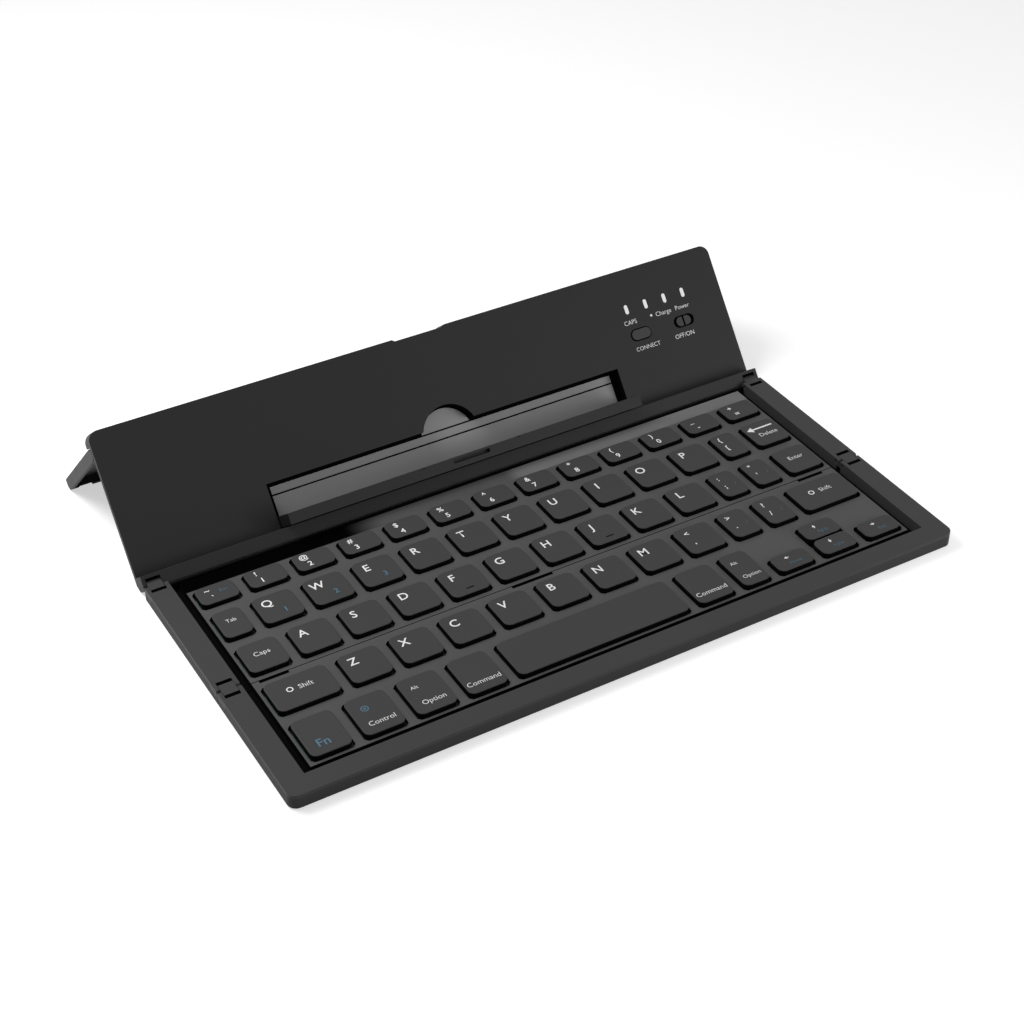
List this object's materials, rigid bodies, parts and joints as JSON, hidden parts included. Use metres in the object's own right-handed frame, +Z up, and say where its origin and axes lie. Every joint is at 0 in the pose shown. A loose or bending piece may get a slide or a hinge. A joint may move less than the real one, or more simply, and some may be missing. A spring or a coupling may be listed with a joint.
{
  "type": "folding keyboard",
  "caption": "Tri-fold pocket keyboard with two key panels, a tilted lid with a device ledge, and a rear stand.",
  "frame": {"origin": "centre of the bounding box's bottom face, on the desk, at rest with the panels open", "axes": "+X to the typist's right along the hinge lines, +Y away from the typist, +Z up"},
  "size_m": [0.24, 0.1798, 0.0422],
  "materials": {
    "panel": "matte",
    "keycap": "matte",
    "deck": "matte",
    "pan": "matte",
    "strip": "matte",
    "rubber": "matte",
    "steel": "satin",
    "board": "matte",
    "dome": "matte",
    "cell": "satin",
    "light": "satin"
  },
  "bodies": {
    "middle": {"middle_pan": "pan", "middle_trim_left": "panel", "middle_trim_right": "panel", "middle_deck": "deck", "middle_board": "board", "middle_domes": "dome", "middle_feet": "rubber", "middle_screws": "steel"},
    "front_hinge_links": {"front_links": "panel", "front_pins": "steel"},
    "lid_hinge_links": {"lid_links": "panel", "lid_pins": "steel"},
    "front_panel": {"front_pan": "pan", "front_frame": "panel", "front_deck": "deck", "front_board": "board", "front_domes": "dome", "front_feet": "rubber", "front_screws": "steel", "front_magnets": "steel"},
    "lid": {"lid_face": "panel", "lid_back": "pan", "recess_strip": "strip", "battery": "cell", "control_board": "board", "tact_switch": "steel", "slide_switch": "steel", "led_windows": "light", "charge_socket": "steel", "lid_magnets": "steel", "stand_pins": "steel"},
    "ledge": {"device_ledge": "panel", "ledge_pins": "steel"},
    "stand": {"rear_stand": "panel", "stand_foot": "rubber"},
    "connect": {"connect_button": "panel"},
    "power": {"power_slider": "panel"},
    "press_number_keys": {"number_keys": "keycap"},
    "press_upper_letter_keys": {"upper_letter_keys": "keycap"},
    "press_home_letter_keys": {"home_letter_keys": "keycap"},
    "press_tab_key": {"tab_key": "keycap"},
    "press_backspace_key": {"backspace_key": "keycap"},
    "press_caps_key": {"caps_key": "keycap"},
    "press_enter_key": {"enter_key": "keycap"},
    "press_lower_letter_keys": {"lower_letter_keys": "keycap"},
    "press_left_shift_key": {"left_shift_key": "keycap"},
    "press_right_shift_key": {"right_shift_key": "keycap"},
    "press_fn_key": {"fn_key": "keycap"},
    "press_ctrl_key": {"ctrl_key": "keycap"},
    "press_left_alt_key": {"left_alt_key": "keycap"},
    "press_left_cmd_key": {"left_cmd_key": "keycap"},
    "press_space_key": {"space_key": "keycap"},
    "press_right_cmd_key": {"right_cmd_key": "keycap"},
    "press_right_alt_key": {"right_alt_key": "keycap"},
    "press_left_arrow_key": {"left_arrow_key": "keycap"},
    "press_up_arrow_key": {"up_arrow_key": "keycap"},
    "press_down_arrow_key": {"down_arrow_key": "keycap"},
    "press_right_arrow_key": {"right_arrow_key": "keycap"}
  },
  "joints": [
    {"name": "front_fold", "type": "hinge", "parent": "front_hinge_links", "child": "front_panel", "pos_m": [0, -0.04069, 0.0044], "axis": [1, 0, 0], "range_deg": [-90, 0]},
    {"name": "lid_fold", "type": "hinge", "parent": "lid_hinge_links", "child": "lid", "pos_m": [0, 0.01961, 0.0044], "axis": [1, 0, 0], "range_deg": [0, 38.4]},
    {"name": "stand_fold", "type": "hinge", "parent": "lid", "child": "stand", "pos_m": [0, 0.05473, 0.03405], "axis": [1, 0, 0], "range_deg": [-83.95, 0]},
    {"name": "front_link_turn", "type": "hinge", "parent": "middle", "child": "front_hinge_links", "pos_m": [0, -0.03729, 0.0044], "axis": [1, 0, 0], "range_deg": [-90, 0]},
    {"name": "lid_link_turn", "type": "hinge", "parent": "middle", "child": "lid_hinge_links", "pos_m": [0, 0.01621, 0.0044], "axis": [1, 0, 0], "range_deg": [0, 90]},
    {"name": "ledge_fold", "type": "hinge", "parent": "lid", "child": "ledge", "pos_m": [0, 0.02862, 0.00466], "axis": [1, 0, 0], "range_deg": [-90, 0]},
    {"name": "connect_press", "type": "slide", "parent": "lid", "child": "connect", "axis": [0, 0.7837, -0.6211], "range_m": [0, 0.0003], "stiffness_N_per_m": 400},
    {"name": "power_slide", "type": "slide", "parent": "lid", "child": "power", "axis": [1, 0, 0], "range_m": [0, 0.001]},
    {"name": "number_keys_press", "type": "slide", "parent": "middle", "child": "press_number_keys", "axis": [0, 0, -1], "range_m": [0, 0.0012], "stiffness_N_per_m": 300},
    {"name": "upper_letter_keys_press", "type": "slide", "parent": "middle", "child": "press_upper_letter_keys", "axis": [0, 0, -1], "range_m": [0, 0.0012], "stiffness_N_per_m": 300},
    {"name": "home_letter_keys_press", "type": "slide", "parent": "middle", "child": "press_home_letter_keys", "axis": [0, 0, -1], "range_m": [0, 0.0012], "stiffness_N_per_m": 300},
    {"name": "tab_key_press", "type": "slide", "parent": "middle", "child": "press_tab_key", "axis": [0, 0, -1], "range_m": [0, 0.0012], "stiffness_N_per_m": 300},
    {"name": "backspace_key_press", "type": "slide", "parent": "middle", "child": "press_backspace_key", "axis": [0, 0, -1], "range_m": [0, 0.0012], "stiffness_N_per_m": 300},
    {"name": "caps_key_press", "type": "slide", "parent": "middle", "child": "press_caps_key", "axis": [0, 0, -1], "range_m": [0, 0.0012], "stiffness_N_per_m": 300},
    {"name": "enter_key_press", "type": "slide", "parent": "middle", "child": "press_enter_key", "axis": [0, 0, -1], "range_m": [0, 0.0012], "stiffness_N_per_m": 300},
    {"name": "lower_letter_keys_press", "type": "slide", "parent": "front_panel", "child": "press_lower_letter_keys", "axis": [0, 0, -1], "range_m": [0, 0.0012], "stiffness_N_per_m": 300},
    {"name": "left_shift_key_press", "type": "slide", "parent": "front_panel", "child": "press_left_shift_key", "axis": [0, 0, -1], "range_m": [0, 0.0012], "stiffness_N_per_m": 300},
    {"name": "right_shift_key_press", "type": "slide", "parent": "front_panel", "child": "press_right_shift_key", "axis": [0, 0, -1], "range_m": [0, 0.0012], "stiffness_N_per_m": 300},
    {"name": "fn_key_press", "type": "slide", "parent": "front_panel", "child": "press_fn_key", "axis": [0, 0, -1], "range_m": [0, 0.0012], "stiffness_N_per_m": 300},
    {"name": "ctrl_key_press", "type": "slide", "parent": "front_panel", "child": "press_ctrl_key", "axis": [0, 0, -1], "range_m": [0, 0.0012], "stiffness_N_per_m": 300},
    {"name": "left_alt_key_press", "type": "slide", "parent": "front_panel", "child": "press_left_alt_key", "axis": [0, 0, -1], "range_m": [0, 0.0012], "stiffness_N_per_m": 300},
    {"name": "left_cmd_key_press", "type": "slide", "parent": "front_panel", "child": "press_left_cmd_key", "axis": [0, 0, -1], "range_m": [0, 0.0012], "stiffness_N_per_m": 300},
    {"name": "space_key_press", "type": "slide", "parent": "front_panel", "child": "press_space_key", "axis": [0, 0, -1], "range_m": [0, 0.0012], "stiffness_N_per_m": 300},
    {"name": "right_cmd_key_press", "type": "slide", "parent": "front_panel", "child": "press_right_cmd_key", "axis": [0, 0, -1], "range_m": [0, 0.0012], "stiffness_N_per_m": 300},
    {"name": "right_alt_key_press", "type": "slide", "parent": "front_panel", "child": "press_right_alt_key", "axis": [0, 0, -1], "range_m": [0, 0.0012], "stiffness_N_per_m": 300},
    {"name": "left_arrow_key_press", "type": "slide", "parent": "front_panel", "child": "press_left_arrow_key", "axis": [0, 0, -1], "range_m": [0, 0.0012], "stiffness_N_per_m": 300},
    {"name": "up_arrow_key_press", "type": "slide", "parent": "front_panel", "child": "press_up_arrow_key", "axis": [0, 0, -1], "range_m": [0, 0.0012], "stiffness_N_per_m": 300},
    {"name": "down_arrow_key_press", "type": "slide", "parent": "front_panel", "child": "press_down_arrow_key", "axis": [0, 0, -1], "range_m": [0, 0.0012], "stiffness_N_per_m": 300},
    {"name": "right_arrow_key_press", "type": "slide", "parent": "front_panel", "child": "press_right_arrow_key", "axis": [0, 0, -1], "range_m": [0, 0.0012], "stiffness_N_per_m": 300}
  ],
  "couplings": [
    {"joint": "ledge_fold", "follows": "lid_link_turn", "ratio": -1}
  ]
}
